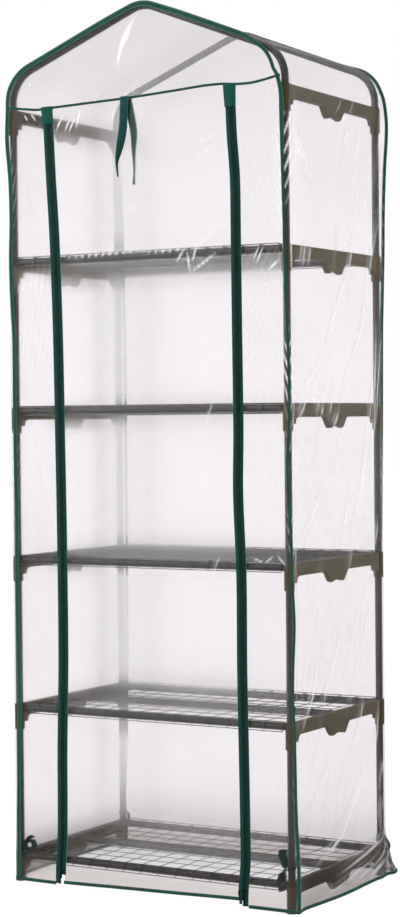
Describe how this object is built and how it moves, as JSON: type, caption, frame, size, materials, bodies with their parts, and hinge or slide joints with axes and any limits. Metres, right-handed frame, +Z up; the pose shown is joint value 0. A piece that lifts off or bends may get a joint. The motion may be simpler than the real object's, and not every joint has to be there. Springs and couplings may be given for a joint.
{
  "type": "grow tunnel",
  "caption": "Upright mini greenhouse: steel-tube frame with moulded side brackets and wire shelves under a clear film cover with a gabled roof and a zipped roll-up door.",
  "frame": {"origin": "on the ground under the middle of the whole object's box", "axes": "+Z up, -Y towards the door, +X to the right of someone facing the door"},
  "size_m": [0.7392, 0.4893, 1.9237],
  "materials": {
    "tube_steel": "dark grey powder-coated steel tube",
    "shelf_wire": "dark grey coated welded wire",
    "bracket_plastic": "olive grey moulded plastic",
    "clear_film": "clear soft film, glossy",
    "green_binding": "dark green woven edging tape",
    "zip_tape": "dark green zip tape with moulded chain",
    "zip_slider": "green enamelled zip slider",
    "tie_ribbon": "dark green ribbon"
  },
  "bodies": {
    "frame": {"upright_front_left": "tube_steel", "upright_front_right": "tube_steel", "upright_back_left": "tube_steel", "upright_back_right": "tube_steel", "bracket_left_1": "bracket_plastic", "bracket_right_1": "bracket_plastic", "bracket_left_2": "bracket_plastic", "bracket_right_2": "bracket_plastic", "bracket_left_3": "bracket_plastic", "bracket_right_3": "bracket_plastic", "bracket_left_4": "bracket_plastic", "bracket_right_4": "bracket_plastic", "bracket_left_5": "bracket_plastic", "bracket_right_5": "bracket_plastic", "bracket_left_6": "bracket_plastic", "bracket_right_6": "bracket_plastic", "shelf_rails_1": "tube_steel", "wire_shelf_1": "shelf_wire", "shelf_rails_2": "tube_steel", "wire_shelf_2": "shelf_wire", "shelf_rails_3": "tube_steel", "wire_shelf_3": "shelf_wire", "shelf_rails_4": "tube_steel", "wire_shelf_4": "shelf_wire", "shelf_rails_5": "tube_steel", "wire_shelf_5": "shelf_wire", "roof_arch_front_left": "tube_steel", "roof_arch_front_right": "tube_steel", "arch_joiner_front": "tube_steel", "roof_arch_back_left": "tube_steel", "roof_arch_back_right": "tube_steel", "arch_joiner_back": "tube_steel", "cover_left_wall": "clear_film", "cover_right_wall": "clear_film", "cover_back": "clear_film", "cover_roof": "clear_film", "cover_front_gable": "clear_film", "cover_front_left": "clear_film", "cover_front_right": "clear_film", "bottom_hem": "green_binding", "zip_tape_left": "zip_tape", "zip_tape_right": "zip_tape", "binding_front": "green_binding", "binding_back": "green_binding", "binding_door_seam": "green_binding", "zip_end_tabs": "zip_tape", "corner_ties": "tie_ribbon"},
    "door": {"door_hem": "green_binding", "door_film": "clear_film", "door_tape_left": "zip_tape", "door_tape_right": "zip_tape"},
    "zip_slider_left": {"zip_slider_left": "zip_slider"},
    "zip_slider_right": {"zip_slider_right": "zip_slider"},
    "zip_pull_left": {"zip_pull_left": "zip_slider"},
    "zip_pull_right": {"zip_pull_right": "zip_slider"},
    "tie_strap_outer": {"tie_strap_outer": "tie_ribbon"},
    "tie_strap_inner": {"tie_strap_inner": "tie_ribbon"}
  },
  "joints": [
    {"name": "door_lift", "type": "slide", "parent": "frame", "child": "door", "axis": [0, 0, 1], "range_m": [0, 1.5], "deforming": ["door_film", "door_tape_left", "door_tape_right"]},
    {"name": "zip_run_left", "type": "slide", "parent": "frame", "child": "zip_slider_left", "axis": [0, 0, 1], "range_m": [0, 1.5]},
    {"name": "pull_flip_left", "type": "hinge", "parent": "zip_slider_left", "child": "zip_pull_left", "pos_m": [-0.23, -0.242, 0.0345], "axis": [-1, 0, 0], "range_deg": [0, 150]},
    {"name": "zip_run_right", "type": "slide", "parent": "frame", "child": "zip_slider_right", "axis": [0, 0, 1], "range_m": [0, 1.5]},
    {"name": "pull_flip_right", "type": "hinge", "parent": "zip_slider_right", "child": "zip_pull_right", "pos_m": [0.23, -0.242, 0.0345], "axis": [-1, 0, 0], "range_deg": [0, 150]},
    {"name": "outer_strap_swing", "type": "hinge", "parent": "frame", "child": "tie_strap_outer", "pos_m": [-0.04, -0.2396, 1.722], "axis": [-1, 0, 0], "range_deg": [0, 100]},
    {"name": "inner_strap_swing", "type": "hinge", "parent": "frame", "child": "tie_strap_inner", "pos_m": [-0.04, -0.2353, 1.722], "axis": [1, 0, 0], "range_deg": [0, 80]}
  ],
  "couplings": [
    {"joint": "zip_run_left", "follows": "door_lift", "ratio": 1},
    {"joint": "zip_run_right", "follows": "door_lift", "ratio": 1}
  ]
}
